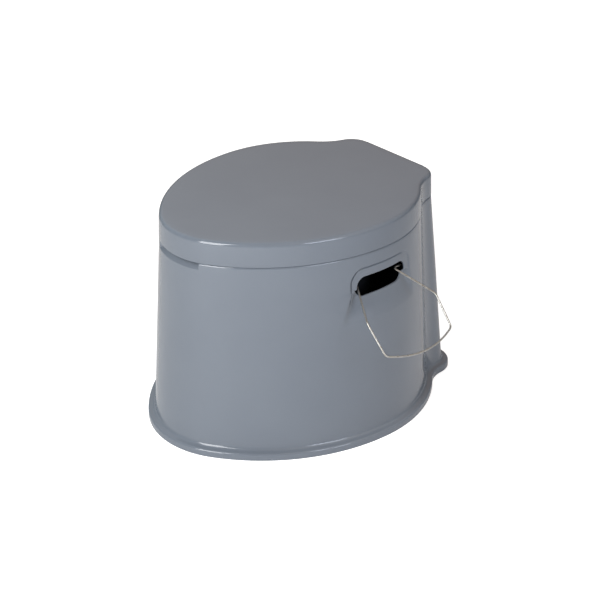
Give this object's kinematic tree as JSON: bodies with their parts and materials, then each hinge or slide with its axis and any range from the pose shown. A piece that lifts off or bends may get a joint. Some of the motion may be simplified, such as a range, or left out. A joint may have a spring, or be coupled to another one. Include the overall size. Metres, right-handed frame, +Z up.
{
  "type": "portable bucket toilet",
  "caption": "Portable toilet: tall flared tub with hinged seat and deep lid, lift-out covered bucket with carrying bail, hand slots and a wire roll holder.",
  "frame": {"origin": "on the floor, under the foot rim at the middle of its rear edge", "axes": "+Z up, -Y towards the front of the toilet, +X to the side that carries the roll holder; +Y runs along the toilet's length"},
  "size_m": [0.4636, 0.48, 0.33],
  "materials": {
    "shell": "glossy moulded polypropylene, blue-grey, with a very slight orange-peel",
    "bucket": "satin moulded polypropylene, charcoal",
    "wire": "drawn zinc-plated steel wire, bright and slightly warm",
    "grip": "ribbed black plastic sleeve",
    "pin": "satin moulded plastic, dark grey",
    "rubber": "matt black rubber"
  },
  "bodies": {
    "tub": {"outer_tub": "shell", "hinge_pin_right": "pin", "hinge_pin_left": "pin", "pin_clip_right": "wire", "pin_clip_left": "wire"},
    "seat": {"toilet_seat": "shell", "seat_buffer_front_left": "rubber", "seat_buffer_front_right": "rubber", "seat_buffer_rear_left": "rubber", "seat_buffer_rear_right": "rubber"},
    "lid": {"lid": "shell", "lid_buffer_front_left": "rubber", "lid_buffer_front_right": "rubber", "lid_buffer_rear_left": "rubber", "lid_buffer_rear_right": "rubber"},
    "bucket": {"inner_bucket": "bucket"},
    "cover": {"bucket_cover": "bucket"},
    "bail": {"bail_wire": "wire"},
    "grip": {"bail_grip": "grip"},
    "holder": {"roll_holder": "wire"}
  },
  "joints": [
    {"name": "seat_hinge", "type": "hinge", "parent": "tub", "child": "seat", "pos_m": [0, -0.0235, 0.299], "axis": [-1, 0, 0], "range_deg": [0, 95]},
    {"name": "lid_hinge", "type": "hinge", "parent": "seat", "child": "lid", "pos_m": [0, -0.0235, 0.299], "axis": [-1, 0, 0], "range_deg": [0, 100]},
    {"name": "bucket_lift", "type": "slide", "parent": "tub", "child": "bucket", "axis": [0, 0, 1], "range_m": [0, 0.006]},
    {"name": "cover_lift", "type": "slide", "parent": "bucket", "child": "cover", "axis": [0, 0, 1], "range_m": [0, 0.004]},
    {"name": "bail_swing", "type": "hinge", "parent": "bucket", "child": "bail", "pos_m": [0, -0.2427, 0.2882], "axis": [1, 0, 0], "range_deg": [0, 6]},
    {"name": "grip_spin", "type": "hinge", "parent": "bail", "child": "grip", "pos_m": [0, -0.0932, 0.2882], "axis": [1, 0, 0], "continuous": true},
    {"name": "holder_swing", "type": "hinge", "parent": "tub", "child": "holder", "pos_m": [0.1575, -0.2177, 0.246], "axis": [0, 1, 0], "range_deg": [-40, 6]}
  ]
}
